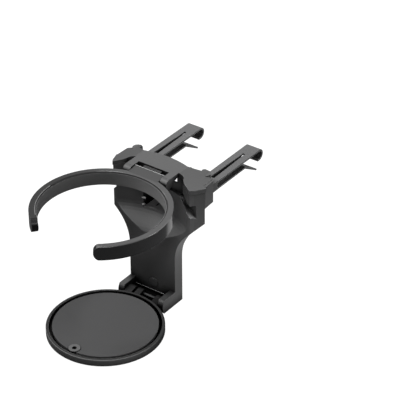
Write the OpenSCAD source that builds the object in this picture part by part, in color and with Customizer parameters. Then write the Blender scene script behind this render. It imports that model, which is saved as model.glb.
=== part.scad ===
/* [Cup ring] */
// Outer diameter of the C-shaped cup ring
ring_od = 80; // [76:0.5:92]
// Width of the ring's wall, without its liner
ring_wall = 3.6; // [3:0.1:5]
// Thickness of the soft liner inside the ring
liner_t = 0.8; // [0.5:0.1:1.2]
// Height of the ring
ring_h = 8.8; // [8:0.1:10]
// Open angle of the C, between the roots of its round tips
ring_gap = 77; // [50:1:90]
// Bevel round the edges of the ring
ring_bevel = 0.3; // [0.2:0.1:1]
// Height of the top of the ring above the clip strips
ring_top_z = 12.2; // [11.8:0.1:12.4]

/* [Ring hinge] */
// Distance from the hinge axis to the outside of the ring
ring_hinge_gap = 1.9; // [1.8:0.1:5]
// Width of the ring's knuckle
knuckle_w = 20.6; // [17:0.2:21]
// Radius of the ring's knuckle
knuckle_r = 2.4; // [2.2:0.05:2.5]
// Width of the ribbed part in the middle of the knuckle
ribbed_w = 12.6; // [8:0.2:14]
// Thickness of each housing ear
ear_t = 4.6; // [3:0.1:5]
// Radius of the hinge pins
pin_r = 1; // [0.8:0.05:1.2]
// Running clearance of a hinge pin, on the radius
pin_gap = 0.05; // [0.03:0.01:0.1]

/* [Housing] */
// Half of the housing's width
body_half_w = 32; // [31.5:0.25:36]
// Height of the flat top above the clip strips
top_z = 13.6; // [13.3:0.1:14.5]
// Half of the width of the flat part of the top
flat_half_w = 15.8; // [15.4:0.1:16.4]
// Slope of the wings, in degrees
wing_slope = 20.5; // [18:0.5:22]
// Thickness of the top cover
cover_t = 2.4; // [2:0.1:2.8]
// Depth from the rear face to the seam with the arm
seam_d = 8.7; // [8.3:0.1:9.2]
// Depth from the rear face to the back of the hinge notch
notch_d = 15; // [14.6:0.1:15.4]
// Radius of the round boss at the back of each wing
boss_r = 3.1; // [2.6:0.1:3.4]
// Height of the rear boxes below the clip strips
box_drop = 6.4; // [6:0.1:10]

/* [Arm] */
// Half of the width of the stem
stem_half_w = 16.4; // [14:0.1:17]
// Depth of the stem from front to back
stem_d = 7.2; // [6:0.1:8.5]
// Thickness of the stem's walls
stem_wall = 2.2; // [1.6:0.1:3]
// Depth of the hollow in the front of the arm, at its middle
hollow_d = 7.5; // [6:0.1:8]
// Radius of the hollow, seen from above
hollow_r = 46.4; // [42:0.2:52]
// Height of the lower corner of the towers, below the clip strips
tower_drop = 15.7; // [14:0.1:18]
// Radius of the flare between towers and stem
flare_r = 28.3; // [26:0.1:30]

/* [Base] */
// Diameter of the base disc
disc_od = 68.6; // [62:0.2:69]
// Thickness of the disc's rim
rim_h = 4.2; // [3.6:0.1:5]
// Whole thickness of the disc
disc_h = 6.4; // [5.6:0.1:7]
// Diameter of the pad on the disc
pad_d = 61.2; // [56:0.2:62]
// Thickness of the pad
pad_t = 1.8; // [1.4:0.1:2.4]
// Height from the top of the disc to the top of the ring
cup_h = 80.2; // [79:0.1:86]
// Height of the top of the disc above its hinge axis
disc_rise = 2.2; // [2:0.1:2.4]
// Distance from the base hinge axis to the edge of the disc
disc_hinge_gap = 4.4; // [4.2:0.1:6]
// Height of the base ears
base_ear_h = 8.9; // [8.4:0.1:9.4]
// Thickness of each base ear
base_ear_t = 3.8; // [3:0.1:4.2]
// Radius of the base knuckles
base_knuckle_r = 2.7; // [2.4:0.1:3.2]

/* [Vent clips] */
// Distance between the middles of the two clips
clip_pitch = 42.8; // [42:0.1:43.6]
// Width of a clip strip
strip_w = 9.8; // [8:0.1:10.4]
// Thickness of a clip strip
strip_t = 1.2; // [0.9:0.1:1.4]
// Distance from the housing to the far end of the hooks
hook_len = 57; // [50:0.5:64]
// Radius of the hook's bend, outside
hook_r = 3.65; // [3:0.05:4.5]
// Width of the long slot at its far end
slot_w_far = 1.2; // [0.8:0.1:3]
// Width of the long slot at its near end
slot_w_near = 2.8; // [2:0.1:4]
// Travel of a hook when it is pulled out
hook_travel = 4; // [2:0.1:4.2]
// Height of the gap between strip and blade
mouth_h = 3.4; // [3.2:0.1:4]
// Length of the flat part of a blade, from the housing
blade_len = 38.8; // [32:0.2:44]
// Thickness of a blade
blade_t = 1; // [0.7:0.1:1.2]
// Slope of the lip at the end of a blade, in degrees
lip_slope = 31; // [20:1:40]
// Length of the lip
lip_len = 14; // [8:0.5:16]

/* [Hidden] */
$fn = 64;

plastic = [0.16, 0.16, 0.165];
rubber = [0.22, 0.22, 0.22];
steel = [0.62, 0.63, 0.65];
clip_grey = [0.24, 0.24, 0.245];

eps = 0.01;
far = 200;
fit = 0.1;
clear = 0.3;
side_gap = 0.35;

// Ring hinge: the ring swings down about this line
hinge_y = -notch_d - 6.2;
hinge_z = 10.4;
hub_r = top_z - hinge_z - 0.05;
notch_half_w = knuckle_w / 2 + 0.4;
ear_out = notch_half_w + ear_t;
ring_r = ring_od / 2;
ring_reach = ring_r + ring_hinge_gap;
ring_y = hinge_y - ring_reach;
liner_r = ring_r - ring_wall;
cup_r = liner_r - liner_t;
liner_drop = 0.8;

// The folded ring lies round this centre, seen from the front
fold_z = hinge_z - ring_reach;
fold_back_y = hinge_y + hinge_z - (ring_top_z - ring_h);
scoop_y = fold_back_y + 0.4;
scoop_in_r = cup_r - 0.5;
scoop_out_r = ring_r + 0.6;

// Base hinge: with these sizes the folded disc lies inside the folded ring
disc_top_z = ring_top_z - cup_h;
disc_r = disc_od / 2;
disc_reach = disc_r + disc_hinge_gap;
base_z = disc_top_z - disc_rise;
base_y = ring_y + disc_reach;
disc_bottom_z = disc_top_z - disc_h;
pad_r = pad_d / 2;
well_r = pad_r + 2;
well_d = pad_t + 0.2;
groove_d = well_d + 1.6;
drain_y = ring_y - pad_r + 2.4;
drain_r = 1.4;
collar_r = 3.4;
base_room_half_w = stem_half_w - base_ear_t;
base_knuckle_half_w = base_room_half_w - side_gap;
base_ear_top_z = base_z + 4.7;
base_ear_front_y = base_y - 4.3;
pin_end_wall = 1.2;

// Front and back of the arm and the plan of its towers
stem_front_y = -18;
stem_back_y = stem_front_y + stem_d;
stem_bottom_z = base_ear_top_z - base_ear_h;
room_y = stem_front_y + 2.4;
seam_y = -seam_d;
brow_x = body_half_w - 4.7;
corner_x = body_half_w - 2.9;
corner_y = stem_front_y + 2;
cheek_x = 21.6;
cheek_y = stem_front_y + 1.8;
facet_set_back = 0.9;
sill_z = -0.8;
wing_seam_x = body_half_w - 2.1;
hollow_y = stem_front_y + hollow_d;
hollow_end_z = -16;
slope_end_z = -34.5;
back_taper_start_z = -tower_drop - 6;
back_taper_end_z = back_taper_start_z - 12.3;
back_room_z = slope_end_z - 1.5;
catch_window = [[-10.7, -8.4], [-6.6, -4.4], [3.7, -4.4], [-10.7, -19.2]];
catch_slit = [[-2.4, -15.6], [0.6, -12.4], [1.1, -12.9], [-1.9, -16.1]];
peg_y = hollow_y - 0.9;
pegs = [[-12.2, -9.3, -12.8, 0.6], [-12.8, -10, -17.4, 0.7]];
side_window = [[10, 4.7], [12.5, 4.7], [12.5, 7.8], [10, 7.8]];
back_wall_y = seam_y - 1.2;
pit_half_w = cheek_x - 1.2;

// Roof line
function roof_z(x) = top_z - max(0, abs(x) - flat_half_w) * tan(wing_slope);

// Clips
clip_x = clip_pitch / 2;
strip_tail_y = -6.6;
flange_t = 1.2;
flange_half_h = 1.3;
sleeve_d = 9;
sleeve_wall = 1;
sleeve_in_y = strip_tail_y + flange_t + hook_travel + 0.2;
sleeve_top_z = strip_t / 2 + clear + sleeve_wall;
blade_top_z = -strip_t / 2 - mouth_h;
sleeve_half_w = strip_w / 2 + clear + sleeve_wall - 0.3;
cavity_half_w = strip_w / 2 + clear;
cavity_top_z = flange_half_h + clear;
pocket_y = -12;
boss_x = body_half_w - 7.6;
boss_y = 1.5;

// Fasteners
screw_r = 1;
head_r = 1.7;
head_h = 1.4;
screw_seat_y = -2.6;
arm_screw_len = 8.2;
cover_screw_x = 12.6;
cover_screw_y = -4.4;
tab_t = 2;
tab_top_z = top_z - cover_t - 2.6;
arm_screw_x = body_half_w - 4;
arm_screw_z = roof_z(arm_screw_x + head_r) - cover_t - head_r - fit;
blade_screw_y = [2.6, 6.6];

// Points on an arc, from angle a0 to a1 in n steps
function arc(cx, cy, r, a0, a1, n) =
    [for (i = [0:n]) let (a = a0 + (a1 - a0) * i / n) [cx + r * cos(a), cy + r * sin(a)]];

// Extrudes a side view, drawn as (y, z), over the width x0 to x1
module along_x(x0, x1) {
    translate([x0, 0, 0]) rotate([90, 0, 90]) linear_extrude(height = x1 - x0) children();
}

// Extrudes a front view, drawn as (x, z), over the depth y0 to y1
module along_y(y0, y1) {
    translate([0, y1, 0]) rotate([90, 0, 0]) linear_extrude(height = y1 - y0) children();
}

// A cylinder along X from x0 to x1, round the line through (y, z)
module rod_x(x0, x1, y, z, r) {
    translate([x0, y, z]) rotate([0, 90, 0]) cylinder(r = r, h = x1 - x0);
}

// A cylinder along Y from y0 to y1
module rod_y(x, z, y0, y1, r) {
    translate([x, y1, z]) rotate([90, 0, 0]) cylinder(r = r, h = y1 - y0);
}

// Both hands of a piece drawn for the right side
module both_sides() {
    children();
    mirror([1, 0, 0]) children();
}

// A layer that follows the roof, from d0 to d1 below its surface
module roof_layer(d0, d1, half_w) {
    along_y(-far, far)
        polygon([[-half_w, roof_z(half_w) - d0], [-flat_half_w, top_z - d0], [flat_half_w, top_z - d0],
                 [half_w, roof_z(half_w) - d0], [half_w, roof_z(half_w) - d1], [flat_half_w, top_z - d1],
                 [-flat_half_w, top_z - d1], [-half_w, roof_z(half_w) - d1]]);
}

// Front view of towers, flare and stem
module arm_front(bottom_z) {
    flare_x = stem_half_w + flare_r;
    flare_z = -tower_drop - (body_half_w - flare_x + flare_r * cos(45)) - flare_r * sin(45);
    right = concat([[body_half_w, far], [body_half_w, -tower_drop]],
                   arc(flare_x, flare_z, flare_r, 135, 180, 12), [[stem_half_w, bottom_z]]);
    left = [for (i = [len(right) - 1:-1:0]) [-right[i][0], right[i][1]]];
    polygon(concat(right, left));
}

// Plan of the two towers, with the corner facets set back under the cover
module tower_plan() {
    polygon([[-body_half_w + facet_set_back, seam_y], [-corner_x + facet_set_back, corner_y + facet_set_back],
             [-brow_x, stem_front_y], [brow_x, stem_front_y],
             [corner_x - facet_set_back, corner_y + facet_set_back], [body_half_w - facet_set_back, seam_y]]);
}

// Plan of the top cover: ears, mouths beside them, brows, cheeks and the rear bosses
module cover_plan() {
    mouth_w = 4.7;
    mouth_r = 2.2;
    bulge_r = 52;
    bulge_y = -1.3;
    right = concat([[notch_half_w, -notch_d], [notch_half_w, hinge_y + 0.4], [ear_out, hinge_y + 0.4],
                    [ear_out, -notch_d + 3]],
                   arc(ear_out + mouth_w - mouth_r, -notch_d + 3 - mouth_r, mouth_r, 90, 0, 4),
                   [[cheek_x + 0.4, cheek_y], [brow_x, stem_front_y - 0.6], [corner_x, corner_y],
                    [body_half_w, seam_y], [wing_seam_x, seam_y], [wing_seam_x, 0]],
                   arc(boss_x, boss_y, boss_r - 0.6, -25, 205, 12),
                   arc(0, bulge_y - bulge_r, bulge_r, acos(flat_half_w / bulge_r), 90, 6));
    left = [for (i = [len(right) - 2:-1:0]) [-right[i][0], right[i][1]]];
    polygon(concat(right, left));
}

// Top cover: a sloped roof with two hinge ears, the detent tongue and the screw bosses
module top_cover() {
    tongue_half_w = 6.1;
    tongue_y = -notch_d - 2.4;
    tongue_top_z = top_z - 1.1;
    color(plastic) difference() {
        union() {
            intersection() {
                roof_layer(0, cover_t, body_half_w);
                translate([0, 0, -far]) linear_extrude(height = 2 * far) cover_plan();
            }
            both_sides() {
                // Ear with its round hub
                rod_x(notch_half_w, ear_out, hinge_y, hinge_z, hub_r);
                translate([notch_half_w, hinge_y, hinge_z]) cube([ear_t, 7, hub_r - 0.6]);
                // Round boss that stands on the clip sleeve
                translate([boss_x, boss_y, sleeve_top_z])
                    cylinder(r = boss_r, h = roof_z(boss_x) - 0.4 - sleeve_top_z);
                // Boss for the cover screw
                translate([cover_screw_x, cover_screw_y, tab_top_z])
                    cylinder(r = 2.3, h = top_z - cover_t - tab_top_z + 1);
            }
            // Springy tongue over the ribbed knuckle, with its two ridges
            along_x(-tongue_half_w, tongue_half_w)
                polygon([[tongue_y, tongue_top_z], [-notch_d + 1, tongue_top_z],
                         [-notch_d + 1, tongue_top_z - 1.1], [tongue_y, tongue_top_z - 0.9]]);
            for (y = [tongue_y + 0.6, tongue_y + 1.7]) {
                rod_x(-tongue_half_w, tongue_half_w, y, tongue_top_z, 0.35);
            }
        }
        rod_x(-ear_out - 1, ear_out - pin_end_wall, hinge_y, hinge_z, pin_r + pin_gap);
        both_sides() {
            translate([boss_x, boss_y, sleeve_top_z - 1]) cylinder(r = 1.3 + fit, h = 4.4);
            translate([cover_screw_x, cover_screw_y, tab_top_z - 1]) cylinder(r = screw_r, h = 4.3);
        }
    }
}

// Arm: towers, flare and stem in one moulding, open at the back
module arm() {
    stem_in = stem_half_w - stem_wall;
    color(plastic) difference() {
        union() {
            intersection() {
                along_y(-far, seam_y) arm_front(stem_bottom_z);
                translate([0, 0, -far]) linear_extrude(height = 2 * far) tower_plan();
                // The back gets slimmer towards the stem
                along_x(-far, far)
                    polygon([[-far, far], [seam_y, far], [seam_y, back_taper_start_z],
                             [stem_back_y, back_taper_end_z], [stem_back_y, -far], [-far, -far]]);
                // Headroom under the roof
                along_y(-far, 0)
                    polygon([[-far, -far], [far, -far], [far, roof_z(far) - cover_t],
                             [flat_half_w, top_z - cover_t], [-flat_half_w, top_z - cover_t],
                             [-far, roof_z(far) - cover_t]]);
            }
            both_sides() base_ear();
        }
        // Hollow for the cup side: a bowl whose wall sweeps forward into the stem
        translate([0, hollow_y - hollow_r, 0]) rotate_extrude($fn = 128)
            polygon(concat([[0, far], [hollow_r, far]],
                [for (u = [0:0.1:1]) [hollow_r - (hollow_d + fit) * (3 * u * u - 2 * u * u * u),
                                      hollow_end_z + (slope_end_z - hollow_end_z) * u]],
                [[0, slope_end_z]]));
        // Deep pit behind the ring hinge, under the cover, with a window at each side
        translate([-pit_half_w, -far, sill_z]) cube([2 * pit_half_w, far + back_wall_y, far]);
        both_sides() along_y(-far, 0) polygon(side_window);
        // Round channel in which the folded ring lies
        difference() {
            rod_y(0, fold_z, -far, scoop_y, scoop_out_r);
            rod_y(0, fold_z, -far - 1, scoop_y + 1, scoop_in_r);
            translate([-far, -far - 1, -tower_drop - far]) cube([2 * far, far + 1, far]);
        }
        // Window of the catch and the slit beside its slanting edge
        along_y(-far, 0) polygon(catch_window);
        along_y(-far, 0) polygon(catch_slit);
        for (p = pegs) {
            rod_x(p[0], 0, peg_y, p[2], p[3]);
        }
        // Hollow back of the stem
        along_y(stem_front_y + stem_wall, 0) polygon([[-stem_in, back_room_z], [stem_in, back_room_z],
            [stem_in, base_z + 5], [-stem_in, base_z + 5]]);
        // Room for the base knuckles, between the ears
        translate([-base_room_half_w, -far, base_z - far])
            cube([2 * base_room_half_w, far + room_y, far]);
        both_sides() {
            // Pocket for the hook spring
            translate([clip_x - cavity_half_w, pocket_y, -cavity_top_z])
                cube([2 * cavity_half_w, 10, 2 * cavity_top_z]);
            rod_y(arm_screw_x, arm_screw_z, screw_seat_y - arm_screw_len - 0.2, 0, screw_r);
        }
        rod_x(-stem_half_w - 1, stem_half_w - pin_end_wall, base_y, base_z, pin_r + pin_gap);
    }
    // Round boss near the foot of the stem
    color(plastic) rod_y(0.6, base_z + 6.1, stem_front_y - 0.5, stem_front_y + 1, 2.9);
}

// Ear of the base hinge, right side, with its slightly bulging front
module base_ear() {
    bulge = 1.5;
    chord_r = (pow(base_ear_h / 2, 2) + pow(bulge, 2)) / (2 * bulge);
    half_angle = asin(base_ear_h / 2 / chord_r);
    mid_z = base_ear_top_z - base_ear_h / 2;
    along_x(stem_half_w - base_ear_t, stem_half_w)
        polygon(concat([[stem_front_y + 2, base_ear_top_z]],
                       arc(base_ear_front_y - bulge + chord_r, mid_z, chord_r,
                           180 - half_angle, 180 + half_angle, 8),
                       [[stem_front_y + 2, stem_bottom_z]]));
}

// Rear cover: two boxes with clip sleeves, joined by a skirt
module rear_cover() {
    inner_x = 14.6;
    box_out = body_half_w - 0.8;
    skirt_t = 1.5;
    skirt_y = -1.9;
    skirt_bottom_z = 2;
    seat_y = seam_y + fit;
    color(plastic) difference() {
        union() {
            both_sides() {
                difference() {
                    intersection() {
                        translate([inner_x, seat_y, -box_drop]) cube([box_out - inner_x, -seat_y, 30]);
                        roof_layer(0, 40, body_half_w);
                        translate([0, 0, -far]) linear_extrude(height = 2 * far)
                            polygon([[0, seat_y], [box_out, seat_y], [box_out - 0.5, 0], [0, 0]]);
                    }
                    translate([boss_x, boss_y, sleeve_top_z]) cylinder(r = boss_r + fit, h = 20);
                }
                translate([clip_x - sleeve_half_w, -1, blade_top_z])
                    cube([2 * sleeve_half_w, sleeve_d + 1, sleeve_top_z - blade_top_z]);
                // Dowel that locates the cover's boss
                translate([boss_x, boss_y, sleeve_top_z - 0.2]) cylinder(r = 1.3, h = 3);
                // Tab for the cover screw
                translate([cover_screw_x - 2.2, cover_screw_y - 2.4, tab_top_z - tab_t])
                    cube([inner_x - cover_screw_x + 2.2 + eps, 4.8, tab_t]);
            }
            translate([-inner_x - eps, skirt_y, skirt_bottom_z])
                cube([2 * inner_x + 2 * eps, skirt_t, top_z - cover_t - skirt_bottom_z]);
        }
        // Underside of the top cover
        intersection() {
            roof_layer(-5, cover_t, body_half_w);
            translate([-wing_seam_x - 0.2, -far, -far]) cube([2 * wing_seam_x + 0.4, 2 * far, 2 * far]);
        }
        both_sides() {
            // Channel of the clip strip and the wider cavity of its end
            translate([clip_x - strip_w / 2 - clear, -20, -strip_t / 2 - clear])
                cube([strip_w + 2 * clear, 40, strip_t + 2 * clear]);
            translate([clip_x - cavity_half_w, -20, -cavity_top_z])
                cube([2 * cavity_half_w, 20 + sleeve_in_y, 2 * cavity_top_z]);
            translate([cover_screw_x, cover_screw_y, 0]) cylinder(r = screw_r + fit, h = 20);
            rod_y(arm_screw_x, arm_screw_z, -20, 1, screw_r + fit);
            rod_y(arm_screw_x, arm_screw_z, screw_seat_y, 1, head_r + fit);
            for (y = blade_screw_y) {
                translate([clip_x, y, blade_top_z - 1]) cylinder(r = screw_r, h = 3.2);
            }
        }
    }
}

// Box behind the catch window, open to the front
module catch_cover() {
    wall = 1.2;
    x0 = -12.9;
    x1 = 7.2;
    z0 = -21.4;
    z1 = -2.4;
    back_y = -3.6;
    color(plastic) difference() {
        translate([x0, seam_y, z0]) cube([x1 - x0, back_y - seam_y, z1 - z0]);
        translate([x0 + wall, seam_y - 1, z0 + wall])
            cube([x1 - x0 - 2 * wall, back_y - seam_y + 1 - wall, z1 - z0 - 2 * wall]);
    }
}

// Two short pegs at the side of the catch window
module stop_pegs() {
    color(clip_grey) for (p = pegs) {
        rod_x(p[0], p[1], peg_y, p[2], p[3]);
    }
}

// Cross-section of the ring, with its bevelled edges
module ring_section(r_in, r_out, z0, z1, bevel) {
    polygon([[r_in, z0 + bevel], [r_in + bevel, z0], [r_out - bevel, z0], [r_out, z0 + bevel],
             [r_out, z1 - bevel], [r_out - bevel, z1], [r_in + bevel, z1], [r_in, z1 - bevel]]);
}

// Cup ring: a C with round ends and a ribbed knuckle
module cup_ring() {
    z0 = ring_top_z - ring_h;
    tip_r = ring_h / 2 + 0.2;
    half_gap = ring_gap / 2;
    ribbed_r = knuckle_r - 0.5;
    lug_root_y = hinge_y - ring_hinge_gap - ring_wall + ring_bevel + 0.4;
    lug_top_z = hinge_z + 2.8;
    lug_back_y = hinge_y + 2.4;
    color(plastic) difference() {
        union() {
            difference() {
                translate([0, ring_y, 0]) rotate_extrude($fn = 180)
                    ring_section(liner_r, ring_r, z0, ring_top_z, ring_bevel);
                // Mouth of the C, which leaves the tips round
                translate([0, ring_y, z0]) difference() {
                    translate([0, 0, -1]) linear_extrude(height = ring_h + 2)
                        polygon([[0, 0], [-2 * ring_r * tan(half_gap), -2 * ring_r],
                                 [2 * ring_r * tan(half_gap), -2 * ring_r]]);
                    for (s = [-1, 1]) {
                        rotate([0, 0, -90 + s * half_gap]) translate([liner_r - 3, 0, ring_h / 2])
                            rotate([0, 90, 0]) cylinder(r = tip_r, h = ring_wall + 6);
                    }
                }
            }
            // Lug from the ring to the knuckle, with a flat top that rises a little
            along_x(-knuckle_w / 2, knuckle_w / 2)
                polygon([[lug_root_y, ring_top_z - 0.05], [lug_back_y, lug_top_z],
                         [lug_back_y, hinge_z - 0.6], [hinge_y - 0.8, hinge_z - knuckle_r + 0.3],
                         [hinge_y - 3.4, hinge_z - knuckle_r - 1.4], [lug_root_y, z0 + 1.4]]);
            rod_x(-knuckle_w / 2, -ribbed_w / 2, hinge_y, hinge_z, knuckle_r);
            rod_x(ribbed_w / 2, knuckle_w / 2, hinge_y, hinge_z, knuckle_r);
            rod_x(-ribbed_w / 2 - 1, ribbed_w / 2 + 1, hinge_y, hinge_z, ribbed_r);
        }
        // Recess with fine ribs across the back of the knuckle
        translate([-ribbed_w / 2, lug_back_y - 0.4, hinge_z - 2]) cube([ribbed_w, 3, 4.4]);
        for (z = [hinge_z - 1.2:0.7:hinge_z + 2]) {
            rod_x(-ribbed_w / 2 + 0.2, ribbed_w / 2 - 0.2, lug_back_y - 0.4, z, 0.2);
        }
        rod_x(-knuckle_w, knuckle_w, hinge_y, hinge_z, pin_r + pin_gap);
    }
}

// Soft liner of the ring: the cup's bore
module ring_liner() {
    color(rubber) translate([0, ring_y, 0])
        rotate([0, 0, -90 + ring_gap / 2]) rotate_extrude(angle = 360 - ring_gap, $fn = 180)
            translate([cup_r, ring_top_z - ring_h + 0.4]) square([liner_t, ring_h - liner_drop - 0.4]);
}

module ring_pin() {
    color(steel) rod_x(-ear_out + 0.1, ear_out - pin_end_wall - 0.1, hinge_y, hinge_z, pin_r);
}

// Base disc: rim, well for the pad, stepped underside and hinge knuckles
module base_disc() {
    ridge_r = disc_r - 4.3;
    ridge_in_r = disc_r - 7;
    floor_r = disc_r - 10.4;
    recess = 1.6;
    lug_root_y = base_y - disc_hinge_gap - 4.6;
    shelf_top_z = base_z - 2.2;
    knuckles = [[-base_knuckle_half_w, -7.6], [-5.7, -2], [7.6, base_knuckle_half_w]];
    seat_r = pad_r - 0.5;
    color(plastic) difference() {
        union() {
            translate([0, ring_y, 0]) rotate_extrude($fn = 180)
                polygon([[0, disc_bottom_z + recess], [floor_r, disc_bottom_z + recess],
                         [ridge_in_r, disc_bottom_z], [ridge_r, disc_bottom_z],
                         [disc_r, disc_top_z - rim_h], [disc_r, disc_top_z - 0.4], [disc_r - 0.4, disc_top_z],
                         [well_r, disc_top_z], [well_r, disc_top_z - groove_d],
                         [seat_r, disc_top_z - groove_d], [seat_r, disc_top_z - well_d],
                         [0, disc_top_z - well_d]]);
            // Shelf that carries the knuckles and stops against the stem
            difference() {
                union() {
                    along_x(-base_knuckle_half_w, base_knuckle_half_w)
                        polygon([[lug_root_y, shelf_top_z], [room_y - clear, shelf_top_z],
                                 [room_y - clear, stem_bottom_z + 0.2], [lug_root_y, stem_bottom_z + 0.2]]);
                    for (k = knuckles) {
                        along_x(k[0], k[1])
                            polygon([[lug_root_y, disc_top_z - 1.4],
                                     [base_y - 1, base_z + base_knuckle_r - 0.3],
                                     [base_y - 1, shelf_top_z - 0.5], [lug_root_y, shelf_top_z - 0.5]]);
                    }
                }
                translate([0, ring_y, disc_bottom_z - 1]) cylinder(r = well_r + 0.6, h = 20, $fn = 180);
            }
            for (k = knuckles) {
                rod_x(k[0], k[1], base_y, base_z, base_knuckle_r);
            }
            // Collar of the drain hole
            translate([0, drain_y, disc_top_z - well_d - eps]) cylinder(r = collar_r, h = well_d + 0.2);
        }
        translate([0, drain_y, disc_bottom_z - 1]) cylinder(r = drain_r, h = disc_h + 3);
        rod_x(-stem_half_w, stem_half_w, base_y, base_z, pin_r + pin_gap);
    }
}

// Thin pad in the well of the disc
module base_pad() {
    color(rubber) difference() {
        translate([0, ring_y, disc_top_z - well_d]) cylinder(r = pad_r, h = pad_t, $fn = 180);
        translate([0, drain_y, disc_top_z - well_d - 1]) cylinder(r = collar_r + 0.3, h = pad_t + 2);
    }
}

module base_pin() {
    color(steel) rod_x(-stem_half_w + 0.1, stem_half_w - pin_end_wall - 0.1, base_y, base_z, pin_r);
}

// Side view of a hook: strip, bend and tip, drawn as (y, z)
module hook_side() {
    bend_y = hook_len - hook_r;
    bend_z = strip_t / 2 - hook_r;
    difference() {
        union() {
            translate([strip_tail_y, -strip_t / 2]) square([bend_y - strip_tail_y, strip_t]);
            translate([bend_y, bend_z]) circle(r = hook_r);
            translate([bend_y - 1.6, bend_z - hook_r]) square([1.6, strip_t]);
        }
        translate([bend_y, bend_z]) circle(r = hook_r - strip_t);
        translate([bend_y - 5, bend_z - hook_r + strip_t]) square([5, 2 * (hook_r - strip_t)]);
        translate([bend_y - 10, bend_z - hook_r - 1]) square([10 - 1.6, 2 * hook_r + 1 - strip_t]);
    }
}

// Hook strip, right side
module hook() {
    slot_y0 = 12;
    slot_y1 = hook_len - 13;
    slot_end_r = 0.8;
    color(clip_grey) difference() {
        union() {
            translate([clip_x, 0, 0]) along_x(-strip_w / 2, strip_w / 2) hook_side();
            // Stop flange inside the housing
            translate([clip_x - strip_w / 2, strip_tail_y, -flange_half_h])
                cube([strip_w, flange_t, 2 * flange_half_h]);
        }
        translate([clip_x, 0, -5]) linear_extrude(height = 10)
            polygon([[-slot_w_near / 2, slot_y0], [slot_w_near / 2, slot_y0],
                     [slot_w_far / 2, slot_y1], [-slot_w_far / 2, slot_y1]]);
        translate([clip_x, slot_y1, -5]) cylinder(r = slot_end_r, h = 10);
    }
}

// Lower blade with its bent lip, right side
module blade() {
    y1 = blade_len;
    c = cos(lip_slope);
    s = sin(lip_slope);
    color(clip_grey) difference() {
        translate([clip_x, 0, 0]) along_x(-strip_w / 2, strip_w / 2)
            polygon([[fit, blade_top_z], [y1, blade_top_z], [y1 + lip_len * c, blade_top_z - lip_len * s],
                     [y1 + lip_len * c - blade_t * s, blade_top_z - lip_len * s - blade_t * c],
                     [y1 - blade_t * s, blade_top_z - blade_t], [fit, blade_top_z - blade_t]]);
        for (y = blade_screw_y) {
            translate([clip_x, y, blade_top_z - 3]) cylinder(r = screw_r + fit, h = 5);
        }
    }
}

// Coil spring behind the hook's flange, right side
module hook_spring() {
    wire = 0.5;
    coil_r = 1.1;
    turns = 6;
    y0 = pocket_y + wire / 2;
    y1 = strip_tail_y - wire / 2;
    steps = 10;
    sides = 5;
    count = turns * steps;
    points = [for (i = [0:count]) let (a = 360 * i / steps)
        for (j = [0:sides - 1]) let (b = 360 * j / sides, r = coil_r + wire / 2 * cos(b))
            [r * cos(a), y0 + (y1 - y0) * i / count + wire / 2 * sin(b), r * sin(a)]];
    walls = [for (i = [0:count - 1]) for (j = [0:sides - 1]) let (k = (j + 1) % sides)
        [i * sides + j, (i + 1) * sides + j, (i + 1) * sides + k, i * sides + k]];
    ends = [[for (j = [0:sides - 1]) j], [for (j = [sides - 1:-1:0]) count * sides + j]];
    color(steel) translate([clip_x, 0, 0]) polyhedron(points, concat(walls, ends), convexity = 10);
}

// Screw along Z with its head below, at the point where the head meets its seat
module screw(length) {
    translate([0, 0, -head_h]) cylinder(r = head_r, h = head_h);
    translate([0, 0, -eps]) cylinder(r = screw_r, h = length);
}

module cover_screws() {
    color(steel) both_sides()
        translate([cover_screw_x, cover_screw_y, tab_top_z - tab_t]) screw(tab_t + 3.2);
}

module arm_screws() {
    color(steel) both_sides()
        translate([arm_screw_x, screw_seat_y, arm_screw_z]) rotate([90, 0, 0]) screw(arm_screw_len);
}

module blade_screws() {
    color(steel) both_sides() for (y = blade_screw_y) {
        translate([clip_x, y, blade_top_z - blade_t]) screw(blade_t + 2);
    }
}

top_cover();
arm();
rear_cover();
catch_cover();
stop_pegs();
cup_ring();
ring_liner();
ring_pin();
base_disc();
base_pad();
base_pin();
mirror([1, 0, 0]) hook();  // left_hook
hook();  // right_hook
mirror([1, 0, 0]) blade();  // left_blade
blade();  // right_blade
mirror([1, 0, 0]) hook_spring();  // left_hook_spring
hook_spring();  // right_hook_spring
cover_screws();
arm_screws();
blade_screws();
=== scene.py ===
# Folding cup holder with air vent clips: finishes, small details, studio light and camera
import math

import bmesh
import bpy
from mathutils import Matrix, Vector


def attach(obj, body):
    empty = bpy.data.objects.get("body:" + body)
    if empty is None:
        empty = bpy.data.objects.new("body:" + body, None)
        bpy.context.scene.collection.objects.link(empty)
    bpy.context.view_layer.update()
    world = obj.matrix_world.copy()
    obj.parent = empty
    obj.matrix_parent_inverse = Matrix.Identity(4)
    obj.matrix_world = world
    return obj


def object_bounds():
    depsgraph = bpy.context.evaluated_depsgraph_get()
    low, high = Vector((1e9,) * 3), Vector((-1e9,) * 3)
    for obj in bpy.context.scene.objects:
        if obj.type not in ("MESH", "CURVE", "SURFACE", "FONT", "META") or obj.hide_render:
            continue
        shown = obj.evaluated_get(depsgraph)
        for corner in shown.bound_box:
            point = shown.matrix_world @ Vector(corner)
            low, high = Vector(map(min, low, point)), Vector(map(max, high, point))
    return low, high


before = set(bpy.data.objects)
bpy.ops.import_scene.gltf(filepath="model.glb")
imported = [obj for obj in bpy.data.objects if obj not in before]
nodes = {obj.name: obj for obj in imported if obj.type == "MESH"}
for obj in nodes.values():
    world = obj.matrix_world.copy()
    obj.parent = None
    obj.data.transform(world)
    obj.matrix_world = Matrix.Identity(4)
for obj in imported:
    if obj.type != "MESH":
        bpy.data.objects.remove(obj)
cadLow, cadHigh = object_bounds()
millimetre = 0.001
xAxis, yAxis, zAxis = Vector((1, 0, 0)), Vector((0, 1, 0)), Vector((0, 0, 1))
print("frame loaded:", len(nodes), "nodes")


# Helpers for node trees

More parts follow.
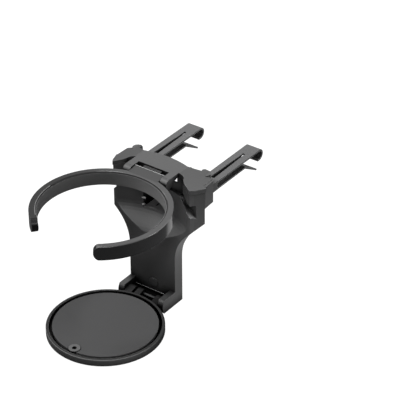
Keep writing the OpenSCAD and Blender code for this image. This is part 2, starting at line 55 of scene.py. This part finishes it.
def mathNode(tree, operation, first, second):
    node = tree.nodes.new("ShaderNodeMath")
    node.operation = operation
    for slot, value in enumerate((first, second)):
        if isinstance(value, (int, float)):
            node.inputs[slot].default_value = value
        else:
            tree.links.new(value, node.inputs[slot])
    return node.outputs[0]


def rampNode(tree, value, low, high):
    node = tree.nodes.new("ShaderNodeMapRange")
    node.interpolation_type = "SMOOTHSTEP"
    node.inputs["From Min"].default_value = low
    node.inputs["From Max"].default_value = high
    tree.links.new(value, node.inputs["Value"])
    return node.outputs["Result"]


def newGroup(name, inputs, outputs):
    group = bpy.data.node_groups.new(name, "ShaderNodeTree")
    for label, kind, value in inputs:
        socket = group.interface.new_socket(name=label, in_out="INPUT", socket_type=kind)
        socket.default_value = value
    for label, kind in outputs:
        group.interface.new_socket(name=label, in_out="OUTPUT", socket_type=kind)
    return group, group.nodes.new("NodeGroupInput"), group.nodes.new("NodeGroupOutput")


def placeGroup(tree, group, values):
    node = tree.nodes.new("ShaderNodeGroup")
    node.node_tree = group
    for label, value in values.items():
        node.inputs[label].default_value = value
    return node


# Helpers for meshes: rings of points joined into a closed skin, and the piece made of it

def joinRings(shape, rings, closed):
    pairs = list(zip(rings, rings[1:]))
    if closed:
        pairs.append((rings[-1], rings[0]))
    for first, second in pairs:
        for k in range(len(first)):
            m = (k + 1) % len(first)
            shape.faces.new((first[k], first[m], second[m], second[k]))
    if not closed:
        shape.faces.new(rings[0][::-1])
        shape.faces.new(rings[-1])
    bmesh.ops.recalc_face_normals(shape, faces=shape.faces)


def meshPiece(name, shape, material, body):
    mesh = bpy.data.meshes.new(name)
    shape.to_mesh(mesh)
    shape.free()
    piece = bpy.data.objects.new(name, mesh)
    bpy.context.scene.collection.objects.link(piece)
    mesh.materials.append(material)
    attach(piece, body)


# Soft edge: a rounded normal, and a mask that is 1 on a sharp edge and 0 on a flat
edgeLook = {"radius": 0.0002, "samples": 8, "flat": 0.995, "sharp": 0.8}
softEdge, groupIn, groupOut = newGroup(
    "softEdge",
    [("Radius", "NodeSocketFloat", edgeLook["radius"])],
    [("Normal", "NodeSocketVector"), ("Edge", "NodeSocketFloat")],
)
links = softEdge.links
bevel = softEdge.nodes.new("ShaderNodeBevel")
bevel.samples = edgeLook["samples"]
links.new(groupIn.outputs["Radius"], bevel.inputs["Radius"])
geometry = softEdge.nodes.new("ShaderNodeNewGeometry")
turned = softEdge.nodes.new("ShaderNodeVectorMath")
turned.operation = "DOT_PRODUCT"
links.new(bevel.outputs["Normal"], turned.inputs[0])
links.new(geometry.outputs["True Normal"], turned.inputs[1])
edgeMask = softEdge.nodes.new("ShaderNodeMapRange")
edgeMask.inputs["From Min"].default_value = edgeLook["flat"]
edgeMask.inputs["From Max"].default_value = edgeLook["sharp"]
links.new(turned.outputs["Value"], edgeMask.inputs["Value"])
links.new(bevel.outputs["Normal"], groupOut.inputs["Normal"])
links.new(edgeMask.outputs["Result"], groupOut.inputs["Edge"])

# Crevice shade: painted shade that is 1 on open surfaces, falling towards 0 deep in pits and gaps; it
# darkens the colour and the shine
creviceLook = {"reach": 0.008, "depth": 1.0, "samples": 8}
creviceShade, groupIn, groupOut = newGroup(
    "creviceShade",
    [("Reach", "NodeSocketFloat", creviceLook["reach"]), ("Depth", "NodeSocketFloat", creviceLook["depth"])],
    [("Openness", "NodeSocketFloat")],
)
links = creviceShade.links
occlusion = creviceShade.nodes.new("ShaderNodeAmbientOcclusion")
occlusion.samples = creviceLook["samples"]
links.new(groupIn.outputs["Reach"], occlusion.inputs["Distance"])
openness = mathNode(creviceShade, "POWER", occlusion.outputs["AO"], groupIn.outputs["Depth"])
links.new(openness, groupOut.inputs["Openness"])

# Shade zone: painted shade that is 1 on one side of the object, falling to the kept share along a direction
fadeZone, groupIn, groupOut = newGroup(
    "fadeZone",
    [("Direction", "NodeSocketVector", (0.0, 1.0, 0.0)), ("Start", "NodeSocketFloat", 0.0),
     ("End", "NodeSocketFloat", 0.1), ("Kept", "NodeSocketFloat", 0.3)],
    [("Share", "NodeSocketFloat")],
)
links = fadeZone.links
coordinate = fadeZone.nodes.new("ShaderNodeTexCoord")
along = fadeZone.nodes.new("ShaderNodeVectorMath")
along.operation = "DOT_PRODUCT"
links.new(coordinate.outputs["Object"], along.inputs[0])
links.new(groupIn.outputs["Direction"], along.inputs[1])
spread = fadeZone.nodes.new("ShaderNodeMapRange")
spread.interpolation_type = "SMOOTHSTEP"
links.new(along.outputs["Value"], spread.inputs["Value"])
links.new(groupIn.outputs["Start"], spread.inputs["From Min"])
links.new(groupIn.outputs["End"], spread.inputs["From Max"])
spread.inputs["To Min"].default_value = 1.0
links.new(groupIn.outputs["Kept"], spread.inputs["To Max"])
links.new(spread.outputs["Result"], groupOut.inputs["Share"])

# Moulded grain: fine texture over a slow change of tone, with painted highlights that lighten the edges and
# painted shade that darkens where Openness falls
grainLook = {"fineDetail": 2, "fineRoughness": 0.6, "fineShare": 0.7,
             "cloudScale": 45, "cloudDetail": 3, "cloudShare": 0.3,
             "noiseMiddle": 0.5, "swingInRoughness": 0.6}
mouldedGrain, groupIn, groupOut = newGroup(
    "mouldedGrain",
    [("Tone", "NodeSocketColor", (0.05, 0.05, 0.05, 1)), ("Grain Size", "NodeSocketFloat", 0.00025),
     ("Mottle", "NodeSocketFloat", 0.1), ("Roughness", "NodeSocketFloat", 0.5),
     ("Edge", "NodeSocketFloat", 0.0), ("Edge Highlight", "NodeSocketFloat", 0.2),
     ("Openness", "NodeSocketFloat", 1.0)],
    [("Color", "NodeSocketColor"), ("Roughness", "NodeSocketFloat"), ("Height", "NodeSocketFloat")],
)
links = mouldedGrain.links
coordinate = mouldedGrain.nodes.new("ShaderNodeTexCoord")
grain = mouldedGrain.nodes.new("ShaderNodeTexNoise")
grain.inputs["Detail"].default_value = grainLook["fineDetail"]
grain.inputs["Roughness"].default_value = grainLook["fineRoughness"]
links.new(coordinate.outputs["Object"], grain.inputs["Vector"])
links.new(mathNode(mouldedGrain, "DIVIDE", 1.0, groupIn.outputs["Grain Size"]), grain.inputs["Scale"])
cloud = mouldedGrain.nodes.new("ShaderNodeTexNoise")
cloud.inputs["Scale"].default_value = grainLook["cloudScale"]
cloud.inputs["Detail"].default_value = grainLook["cloudDetail"]
links.new(coordinate.outputs["Object"], cloud.inputs["Vector"])
fine = mathNode(mouldedGrain, "MULTIPLY", grain.outputs["Fac"], grainLook["fineShare"])
slow = mathNode(mouldedGrain, "MULTIPLY", cloud.outputs["Fac"], grainLook["cloudShare"])
mixed = mathNode(mouldedGrain, "ADD", fine, slow)
centred = mathNode(mouldedGrain, "SUBTRACT", mixed, grainLook["noiseMiddle"])
swing = mathNode(mouldedGrain, "MULTIPLY", centred, groupIn.outputs["Mottle"])
# painted highlight: the edge mask lightens the tone along edges
highlight = mathNode(mouldedGrain, "MULTIPLY", groupIn.outputs["Edge"], groupIn.outputs["Edge Highlight"])
gain = mathNode(mouldedGrain, "ADD", mathNode(mouldedGrain, "ADD", swing, highlight), 1.0)
scaled = mouldedGrain.nodes.new("ShaderNodeVectorMath")
scaled.operation = "SCALE"
links.new(groupIn.outputs["Tone"], scaled.inputs[0])
# painted shade: Openness darkens the tone in crevices and shade zones
links.new(mathNode(mouldedGrain, "MULTIPLY", gain, groupIn.outputs["Openness"]), scaled.inputs["Scale"])
links.new(scaled.outputs["Vector"], groupOut.inputs["Color"])
uneven = mathNode(mouldedGrain, "MULTIPLY", swing, grainLook["swingInRoughness"])
links.new(mathNode(mouldedGrain, "ADD", groupIn.outputs["Roughness"], uneven), groupOut.inputs["Roughness"])
links.new(grain.outputs["Fac"], groupOut.inputs["Height"])
print("shared effects made")


# One material from its look: painted edge highlight, painted crevice shade, painted shade zone and grain
# feed a Principled shader
grainRise = 0.2  # height of the grain, as a share of its size


def finishMaterial(name, look):
    material = bpy.data.materials.new(name)
    material.use_nodes = True
    tree = material.node_tree
    tree.nodes.clear()
    edge = placeGroup(tree, softEdge, {"Radius": look["edgeRadius"]})
    pits = placeGroup(tree, creviceShade, {"Reach": look["creviceReach"], "Depth": look["creviceDepth"]})
    surface = placeGroup(tree, mouldedGrain, {
        "Tone": (*look["tone"], 1), "Grain Size": look["grainSize"], "Mottle": look["mottle"],
        "Roughness": look["roughness"], "Edge Highlight": look["edgeHighlight"],
    })
    # painted shade from crevices, times the painted shade zone where a finish has one
    shade = pits.outputs["Openness"]
    if "fade" in look:
        fade = placeGroup(tree, fadeZone, look["fade"])
        shade = mathNode(tree, "MULTIPLY", shade, fade.outputs["Share"])
    tree.links.new(edge.outputs["Edge"], surface.inputs["Edge"])
    tree.links.new(shade, surface.inputs["Openness"])
    bump = tree.nodes.new("ShaderNodeBump")
    bump.inputs["Strength"].default_value = look["bump"]
    bump.inputs["Distance"].default_value = look["grainSize"] * grainRise
    tree.links.new(surface.outputs["Height"], bump.inputs["Height"])
    tree.links.new(edge.outputs["Normal"], bump.inputs["Normal"])
    shader = tree.nodes.new("ShaderNodeBsdfPrincipled")
    tree.links.new(surface.outputs["Color"], shader.inputs["Base Color"])
    tree.links.new(surface.outputs["Roughness"], shader.inputs["Roughness"])
    tree.links.new(bump.outputs["Normal"], shader.inputs["Normal"])
    # painted shade also dims the shine
    shine = mathNode(tree, "MULTIPLY", shade, look["specular"])
    tree.links.new(shine, shader.inputs["Specular IOR Level"])
    shader.inputs["Metallic"].default_value = look["metallic"]
    output = tree.nodes.new("ShaderNodeOutputMaterial")
    tree.links.new(shader.outputs["BSDF"], output.inputs["Surface"])
    return material


# Finishes, with tones as linear colour and lengths in metres
finishes = {
    # bodyPlastic: painted shade, darker towards the bottom of the housing
    "bodyPlastic": {"tone": (0.034, 0.034, 0.0343), "grainSize": 0.00022, "mottle": 0.25, "roughness": 0.36,
                    "edgeHighlight": 2.0, "bump": 0.2, "specular": 0.5, "metallic": 0.0, "edgeRadius": 0.00022,
                    "creviceReach": 0.007, "creviceDepth": 2.5,
                    "fade": {"Direction": (0.0, 0.0, -1.0), "Start": 0.036, "End": 0.062, "Kept": 0.72}},
    # ringPlastic: a glossier finish whose darker tone than the body is partly painted shade; painted shade
    # also darkens the ring towards the left and front
    "ringPlastic": {"tone": (0.009, 0.009, 0.0092), "grainSize": 0.0002, "mottle": 0.2, "roughness": 0.15,
                    "edgeHighlight": 2.5, "bump": 0.12, "specular": 0.6, "metallic": 0.0, "edgeRadius": 0.0002,
                    "creviceReach": 0.006, "creviceDepth": 1.8,
                    "fade": {"Direction": (-1.0, -0.3, 0.0), "Start": 0.01, "End": 0.055, "Kept": 0.32}},
    # discPlastic: painted shade, darker towards the back and right of the disc, at the hinge
    "discPlastic": {"tone": (0.066, 0.066, 0.0665), "grainSize": 0.0002, "mottle": 0.2, "roughness": 0.42,
                    "edgeHighlight": 1.2, "bump": 0.2, "specular": 0.32, "metallic": 0.0, "edgeRadius": 0.0002,
                    "creviceReach": 0.008, "creviceDepth": 2.4,
                    "fade": {"Direction": (0.55, 0.84, 0.0), "Start": -0.055, "End": -0.02, "Kept": 0.15}},
    "clipPlastic": {"tone": (0.055, 0.055, 0.056), "grainSize": 0.0003, "mottle": 0.25, "roughness": 0.4,
                    "edgeHighlight": 1.0, "bump": 0.25, "specular": 0.5, "metallic": 0.0, "edgeRadius": 0.0002,
                    "creviceReach": 0.005, "creviceDepth": 2.4},
    # pegNylonLit: light grey nylon, its tone raised further as painted light on pegs that sit in shade
    "pegNylonLit": {"tone": (0.3, 0.3, 0.3), "grainSize": 0.0003, "mottle": 0.2, "roughness": 0.45,
                 "edgeHighlight": 0.3, "bump": 0.2, "specular": 0.5, "metallic": 0.0, "edgeRadius": 0.0001,
                 "creviceReach": 0.001, "creviceDepth": 1.0},
    # linerRubber: painted shade, darker towards the left of the liner
    "linerRubber": {"tone": (0.13, 0.13, 0.13), "grainSize": 0.0004, "mottle": 0.9, "roughness": 0.7,
                    "edgeHighlight": 0.5, "bump": 0.5, "specular": 0.25, "metallic": 0.0, "edgeRadius": 0.00015,
                    "creviceReach": 0.002, "creviceDepth": 1.0,
                    "fade": {"Direction": (-1.0, 0.25, 0.0), "Start": -0.012, "End": 0.016, "Kept": 0.5}},
    "padRubber": {"tone": (0.047, 0.047, 0.0475), "grainSize": 0.0003, "mottle": 0.3, "roughness": 0.7,
                  "edgeHighlight": 0.5, "bump": 0.5, "specular": 0.15, "metallic": 0.0, "edgeRadius": 0.0002,
                  "creviceReach": 0.002, "creviceDepth": 1.5},
    "pinSteel": {"tone": (0.03, 0.03, 0.031), "grainSize": 0.0002, "mottle": 0.15, "roughness": 0.45,
                 "edgeHighlight": 0.1, "bump": 0.1, "specular": 0.5, "metallic": 0.4, "edgeRadius": 0.0001,
                 "creviceReach": 0.008, "creviceDepth": 3.0},
    "screwSteel": {"tone": (0.45, 0.45, 0.46), "grainSize": 0.0002, "mottle": 0.15, "roughness": 0.35,
                   "edgeHighlight": 0.1, "bump": 0.1, "specular": 0.5, "metallic": 1.0, "edgeRadius": 0.0001,
                   "creviceReach": 0.002, "creviceDepth": 1.0},
    # shadeBlack: near black, painted shade in the screw recesses, in gaps and beside the stem's boss, also
    # used for the dark ring on the rim
    "shadeBlack": {"tone": (0.012, 0.012, 0.012), "grainSize": 0.0002, "mottle": 0.2, "roughness": 0.7,
                    "edgeHighlight": 0.1, "bump": 0.2, "specular": 0.2, "metallic": 0.0, "edgeRadius": 0.00005,
                    "creviceReach": 0.001, "creviceDepth": 1.0},
    # highlightLine and softHighlightLine: light tones of painted highlight for thin bright lines along edges
    "highlightLine": {"tone": (0.32, 0.32, 0.32), "grainSize": 0.0002, "mottle": 0.4, "roughness": 0.3,
                    "edgeHighlight": 0.1, "bump": 0.1, "specular": 0.6, "metallic": 0.0, "edgeRadius": 0.00005,
                    "creviceReach": 0.001, "creviceDepth": 1.0},
    "softHighlightLine": {"tone": (0.1, 0.1, 0.1), "grainSize": 0.0002, "mottle": 0.4, "roughness": 0.3,
                 "edgeHighlight": 0.1, "bump": 0.1, "specular": 0.6, "metallic": 0.0, "edgeRadius": 0.00005,
                 "creviceReach": 0.001, "creviceDepth": 1.0},
}
materials = {name: finishMaterial(name, look) for name, look in finishes.items()}
print("materials made:", len(materials))

nodesOfFinish = {
    "bodyPlastic": ["top_cover", "arm", "rear_cover", "catch_cover"],
    "ringPlastic": ["cup_ring"],
    "discPlastic": ["base_disc"],
    "clipPlastic": ["left_hook", "right_hook", "left_blade", "right_blade"],
    "pegNylonLit": ["stop_pegs"],
    "linerRubber": ["ring_liner"],
    "padRubber": ["base_pad"],
    "pinSteel": ["ring_pin", "base_pin"],
    "screwSteel": ["left_hook_spring", "right_hook_spring", "cover_screws", "arm_screws", "blade_screws"],
}
for finish, names in nodesOfFinish.items():
    for name in names:
        slots = nodes[name].data.materials
        if not slots:
            slots.append(materials[finish])
        for i in range(len(slots)):
            slots[i] = materials[finish]
print("finishes placed")


# Cross recesses in the screw heads, in millimetres: a black cross of painted shade on each head stands for
# the recess
recess = {"arm": 1.05, "width": 0.36, "rise": 0.03, "sink": 0.25}
sameSpot = 0.001  # points of a screw closer than this are one point


def crossRecess(name, centre, across, along, out):
    shape = bmesh.new()
    arm, half = recess["arm"] * millimetre, recess["width"] * millimetre / 2
    outline = [(arm, -half), (arm, half), (half, half), (half, arm), (-half, arm), (-half, half),
               (-arm, half), (-arm, -half), (-half, -half), (-half, -arm), (half, -arm), (half, -half)]
    rings = []
    for level in (-recess["sink"], recess["rise"]):
        rings.append([shape.verts.new(centre + across * u + along * v + out * level * millimetre)
                      for u, v in outline])
    joinRings(shape, rings, False)
    meshPiece(name, shape, materials["shadeBlack"], "housing")


# The box round each separate screw of a node, sorted from left to right
def solidBoxes(node):
    shape = bmesh.new()
    shape.from_mesh(nodes[node].data)
    bmesh.ops.remove_doubles(shape, verts=shape.verts, dist=sameSpot * millimetre)
    left = set(shape.verts)
    boxes = []
    while left:
        stack = [left.pop()]
        found = list(stack)
        while stack:
            for edge in stack.pop().link_edges:
                for vert in edge.verts:
                    if vert in left:
                        left.remove(vert)
                        stack.append(vert)
                        found.append(vert)
        low = Vector([min(v.co[i] for v in found) for i in range(3)])
        high = Vector([max(v.co[i] for v in found) for i in range(3)])
        boxes.append((low, high))
    shape.free()
    return sorted(boxes, key=lambda pair: tuple(pair[0]))


for low, high in solidBoxes("arm_screws"):
    face = Vector(((low.x + high.x) / 2, high.y, (low.z + high.z) / 2))
    side = "Left" if face.x < 0 else "Right"
    crossRecess(f"armScrewRecess{side}", face, xAxis, zAxis, yAxis)
for node in ("cover_screws", "blade_screws"):
    for i, (low, high) in enumerate(solidBoxes(node)):
        face = Vector(((low.x + high.x) / 2, (low.y + high.y) / 2, low.z))
        crossRecess(f"{node.split('_')[0]}ScrewRecess{i}", face, xAxis, yAxis, -zAxis)
print("screw recesses made")


# Fine beads, in millimetres: light lines of painted highlight along the rear edge of the ring's lug and the
# stem's lower edge, and a dark arc of painted shadow beside the stem's boss
boss = {"x": 0.6, "y": -18.05, "z": -64.1, "radius": 3.05, "from": -75, "to": 75, "steps": 16}
bossTurns = [math.radians(boss["from"] + (boss["to"] - boss["from"]) * i / boss["steps"])
             for i in range(boss["steps"] + 1)]
bossPoints = [(boss["x"] + boss["radius"] * math.cos(turn), boss["y"],
               boss["z"] + boss["radius"] * math.sin(turn)) for turn in bossTurns]
beads = {
    "lugHighlight": {"body": "ring", "finish": "highlightLine", "radius": 0.24,
                "points": [(-10.2, -18.84, 13.18), (10.2, -18.84, 13.18)]},
    "stemHighlight": {"body": "housing", "finish": "softHighlightLine", "radius": 0.18,
                 "points": [(-17.6, -17.95, -70.1), (16.0, -17.95, -70.1)]},
    # painted shadow of the boss: a dark arc on its right side
    "bossShadow": {"body": "housing", "finish": "shadeBlack", "radius": 0.3, "points": bossPoints},
}
beadRod = {"sides": 8, "endWidth": 0.3, "endReach": 0.7}  # both ends taper, as shares of the radius


def bead(name, look):
    shape = bmesh.new()
    points = [Vector(point) * millimetre for point in look["points"]]
    radius = look["radius"] * millimetre
    last = len(points) - 1
    rings = []
    for i, point in enumerate(points):
        along = (points[min(i + 1, last)] - points[max(i - 1, 0)]).normalized()
        side = along.cross(yAxis)
        stations = [(1.0, 0.0)]
        if i == 0:
            stations = [(beadRod["endWidth"], -beadRod["endReach"]), (1.0, 0.0)]
        if i == last:
            stations = [(1.0, 0.0), (beadRod["endWidth"], beadRod["endReach"])]
        for share, shift in stations:
            ring = []
            for k in range(beadRod["sides"]):
                turn = 2 * math.pi * k / beadRod["sides"]
                spoke = side * math.cos(turn) + yAxis * math.sin(turn)
                ring.append(shape.verts.new(point + (along * shift + spoke * share) * radius))
            rings.append(ring)
    joinRings(shape, rings, False)
    for face in shape.faces:
        face.smooth = True
    meshPiece(name, shape, materials[look["finish"]], look["body"])


for name, look in beads.items():
    bead(name, look)
print("beads made")


# Thin lines swept about the axis of the cup, in millimetres: a dark line of painted shade in the gap along
# the liner, a light line of painted highlight on the liner's lip, and a dark ring round the well of the pad
cupAxisY = -63.1
sweepSteps = 180
sweptLines = {  # each section is drawn as radius and height
    "linerGapShade": {"body": "ring", "finish": "shadeBlack", "start": -50, "end": 178, "closed": False,
                  "section": [(36.42, 11.35), (35.8, 11.35), (35.8, 11.46), (36.15, 11.56), (36.3, 12.02),
                              (36.42, 12.02)]},
    # painted highlight: a light line on the liner's lip
    "linerLipHighlight": {"body": "ring", "finish": "softHighlightLine", "start": 180, "end": 229, "closed": False,
                 "section": [(36.42, 11.9), (36.3, 11.95), (36.28, 12.1), (36.36, 12.2), (36.5, 12.24),
                             (36.7, 12.2), (36.7, 12.0)]},
    # a dark ring laid on the rim round the well of the pad
    "rimDarkRing": {"body": "base", "finish": "shadeBlack", "start": 0, "end": 360, "closed": True,
                "section": [(32.62, -68.1), (33.95, -68.1), (33.93, -67.99), (32.7, -67.97)]},
}


def sweepLine(name, look):
    shape = bmesh.new()
    rings = []
    for i in range(sweepSteps + (0 if look["closed"] else 1)):
        angle = math.radians(look["start"] + (look["end"] - look["start"]) * i / sweepSteps)
        ring = [(r * math.cos(angle), cupAxisY + r * math.sin(angle), z) for r, z in look["section"]]
        rings.append([shape.verts.new(Vector(point) * millimetre) for point in ring])
    joinRings(shape, rings, look["closed"])
    meshPiece(name, shape, materials[look["finish"]], look["body"])


for name, look in sweptLines.items():
    sweepLine(name, look)
print("seams made")


# Dark strip of painted shade under each clip strip, along the side of its slot, in millimetres; it darkens
# what is seen through the slot
slotShade = {"clipX": 21.4, "startY": 13.0, "endY": 42.6, "slotStart": 12.0, "slotEnd": 44.0, "nearHalf": 1.4,
       "farHalf": 0.6, "width": 0.45, "top": -0.5, "bottom": -1.9, "fade": 1.2, "endDepth": 0.15,
       "intoSlot": 0.02, "bevel": 0.1, "steps": 24}


def shadeStripInSlot(name, mirror, body):
    shape = bmesh.new()
    rings = []
    for i in range(slotShade["steps"] + 1):
        y = slotShade["startY"] + (slotShade["endY"] - slotShade["startY"]) * i / slotShade["steps"]
        share = (y - slotShade["slotStart"]) / (slotShade["slotEnd"] - slotShade["slotStart"])
        half = slotShade["nearHalf"] + (slotShade["farHalf"] - slotShade["nearHalf"]) * share
        depth = min(1.0, (y - slotShade["startY"]) / slotShade["fade"] + slotShade["endDepth"],
                    (slotShade["endY"] - y) / slotShade["fade"] + slotShade["endDepth"])
        low = slotShade["top"] + (slotShade["bottom"] - slotShade["top"]) * depth
        inner = mirror * slotShade["clipX"] - half + slotShade["intoSlot"]
        outer = inner - slotShade["width"]
        corners = [(outer, slotShade["top"]), (inner, slotShade["top"]), (inner, low + slotShade["bevel"]),
                   (inner - slotShade["bevel"], low), (outer + slotShade["bevel"], low), (outer, low + slotShade["bevel"])]
        rings.append([shape.verts.new(Vector((x, y, z)) * millimetre) for x, z in corners])
    joinRings(shape, rings, False)
    # the dark pin steel finish paints the shade seen through the slot
    meshPiece(name, shape, materials["pinSteel"], body)


shadeStripInSlot("rightSlotShade", 1, "hook_right")
shadeStripInSlot("leftSlotShade", -1, "hook_left")
print("slot shade strips made")


# Studio lamps: soft round ones towards the middle of the part, in metres
lamps = {
    "topLight": {"towards": (-0.05, -0.2, 1.0), "distance": 1.6, "size": 0.6, "power": 29},
    "rightLight": {"towards": (1.0, 0.5, 0.15), "distance": 1.7, "size": 0.7, "power": 21},
    "leftLight": {"towards": (-1.0, 0.1, 0.5), "distance": 1.8, "size": 0.7, "power": 6},
    "fillLight": {"towards": (0.75, -0.7, 0.6), "distance": 1.8, "size": 0.5, "power": 9},
}


def placeLight(name, light, location, aim):
    holder = bpy.data.objects.new(name, light)
    holder.location = location
    holder.rotation_mode = "QUATERNION"
    holder.rotation_quaternion = aim.to_track_quat("-Z", "Y")
    bpy.context.scene.collection.objects.link(holder)


centre = (cadLow + cadHigh) / 2
for name, lamp in lamps.items():
    light = bpy.data.lights.new(name, "AREA")
    light.shape = "DISK"
    light.size = lamp["size"]
    light.energy = lamp["power"]
    direction = Vector(lamp["towards"]).normalized()
    placeLight(name, light, centre + direction * lamp["distance"], -direction)

# Accent: a narrow spot on the shoulder of the arm, past the right side of the ring
accent = {"place": (0.1, -0.14, 0.1), "aim": (0.02, -0.018, -0.028), "cone": 16, "power": 2.8,
          "size": 0.02, "blend": 1.0}
spot = bpy.data.lights.new("accentLight", "SPOT")
spot.energy = accent["power"]
spot.spot_size = math.radians(accent["cone"])
spot.spot_blend = accent["blend"]
spot.shadow_soft_size = accent["size"]
placeLight("accentLight", spot, accent["place"], Vector(accent["aim"]) - Vector(accent["place"]))
print("lamps placed")


# How bright a surround looks: 1 to the camera, the given glow in reflections, and 0 as a light
def surroundStrength(tree, glow):
    path = tree.nodes.new("ShaderNodeLightPath")
    mirrored = mathNode(tree, "MULTIPLY", path.outputs["Is Glossy Ray"], glow)
    seen = mathNode(tree, "MAXIMUM", path.outputs["Is Camera Ray"], path.outputs["Is Transmission Ray"])
    return mathNode(tree, "MAXIMUM", seen, mirrored)


# White floor: plain white to the camera, with a patch at the right that shines in reflections
ground = {"size": 6.0, "drop": 0.5, "tone": 0.1, "glossyGlow": 0.04, "patchGlow": 0.62,
          "patchX": (0.004, 0.02), "patchFar": (0.075, 0.062), "patchY": (-0.04, -0.012)}
half = ground["size"] / 2
corners = [(-half, -half, 0), (half, -half, 0), (half, half, 0), (-half, half, 0)]
floorMesh = bpy.data.meshes.new("floor")
floorMesh.from_pydata(corners, [], [(0, 1, 2, 3)])
floor = bpy.data.objects.new("floor", floorMesh)
floor.location = (0, 0, cadLow.z - ground["drop"] * millimetre)
bpy.context.scene.collection.objects.link(floor)
floorPaint = bpy.data.materials.new("floorPaint")
floorPaint.use_nodes = True
tree = floorPaint.node_tree
tree.nodes.clear()
diffuse = tree.nodes.new("ShaderNodeBsdfDiffuse")
diffuse.inputs["Color"].default_value = (*[ground["tone"]] * 3, 1)
place = tree.nodes.new("ShaderNodeNewGeometry")
split = tree.nodes.new("ShaderNodeSeparateXYZ")
tree.links.new(place.outputs["Position"], split.inputs["Vector"])
patch = mathNode(tree, "MULTIPLY", rampNode(tree, split.outputs["X"], *ground["patchX"]),
                 rampNode(tree, split.outputs["X"], *ground["patchFar"]))
patch = mathNode(tree, "MULTIPLY", patch, rampNode(tree, split.outputs["Y"], *ground["patchY"]))
lit = mathNode(tree, "ADD", mathNode(tree, "MULTIPLY", patch, ground["patchGlow"]), ground["glossyGlow"])
shine = tree.nodes.new("ShaderNodeEmission")
tree.links.new(surroundStrength(tree, lit), shine.inputs["Strength"])
both = tree.nodes.new("ShaderNodeAddShader")
tree.links.new(diffuse.outputs["BSDF"], both.inputs[0])
tree.links.new(shine.outputs["Emission"], both.inputs[1])
output = tree.nodes.new("ShaderNodeOutputMaterial")
tree.links.new(both.outputs["Shader"], output.inputs["Surface"])
floorMesh.materials.append(floorPaint)

# World: white to the camera, bright above the horizon in reflections, dim as a light
sky = {"dimLight": 0.02, "glossyGlow": 1.45, "horizon": (0.0, 0.3)}
glows = {
    "frontGlow": {"way": (-0.49, -0.53, 0.69), "spread": (0.7, 0.92), "strength": 2.2},
    "sideGlow": {"way": (0.54, 0.68, 0.49), "spread": (0.86, 0.96), "strength": 1.6},
}
world = bpy.data.worlds.new("studio")
world.use_nodes = True
tree = world.node_tree
tree.nodes.clear()
background = tree.nodes.new("ShaderNodeBackground")
background.inputs["Color"].default_value = (1, 1, 1, 1)
towards = tree.nodes.new("ShaderNodeTexCoord")
split = tree.nodes.new("ShaderNodeSeparateXYZ")
tree.links.new(towards.outputs["Generated"], split.inputs["Vector"])
above = mathNode(tree, "MULTIPLY", rampNode(tree, split.outputs["Z"], *sky["horizon"]), sky["glossyGlow"])
for glow in glows.values():
    facing = tree.nodes.new("ShaderNodeVectorMath")
    facing.operation = "DOT_PRODUCT"
    facing.inputs[1].default_value = glow["way"]
    tree.links.new(towards.outputs["Generated"], facing.inputs[0])
    patch = rampNode(tree, facing.outputs["Value"], *glow["spread"])
    above = mathNode(tree, "ADD", above, mathNode(tree, "MULTIPLY", patch, glow["strength"]))
strength = mathNode(tree, "MAXIMUM", surroundStrength(tree, above), sky["dimLight"])
tree.links.new(strength, background.inputs["Strength"])
output = tree.nodes.new("ShaderNodeOutputWorld")
tree.links.new(background.outputs["Background"], output.inputs["Surface"])
bpy.context.scene.world = world
print("floor and world set")


# Camera, fitted to the photograph: place in metres, angles in degrees, lens and sensor in millimetres
shot = {"place": (0.52116, -0.69456, 0.54108), "azimuth": 35.736, "elevation": 32.716,
        "lens": 159.515, "sensor": 36, "nearest": 0.05}
azimuth, elevation = math.radians(shot["azimuth"]), math.radians(shot["elevation"])
right = Vector((math.cos(azimuth), math.sin(azimuth), 0))
back = Vector((math.sin(azimuth) * math.cos(elevation), -math.cos(azimuth) * math.cos(elevation),
               math.sin(elevation)))
cameraData = bpy.data.cameras.new("camera")
cameraData.lens = shot["lens"]
cameraData.sensor_width = shot["sensor"]
cameraData.clip_start = shot["nearest"]
camera = bpy.data.objects.new("camera", cameraData)
turn = Matrix((right, back.cross(right), back)).transposed()
camera.matrix_world = Matrix.Translation(shot["place"]) @ turn.to_4x4()
bpy.context.scene.collection.objects.link(camera)
bpy.context.scene.camera = camera
bpy.context.scene.view_settings.view_transform = "Standard"
print("camera placed")
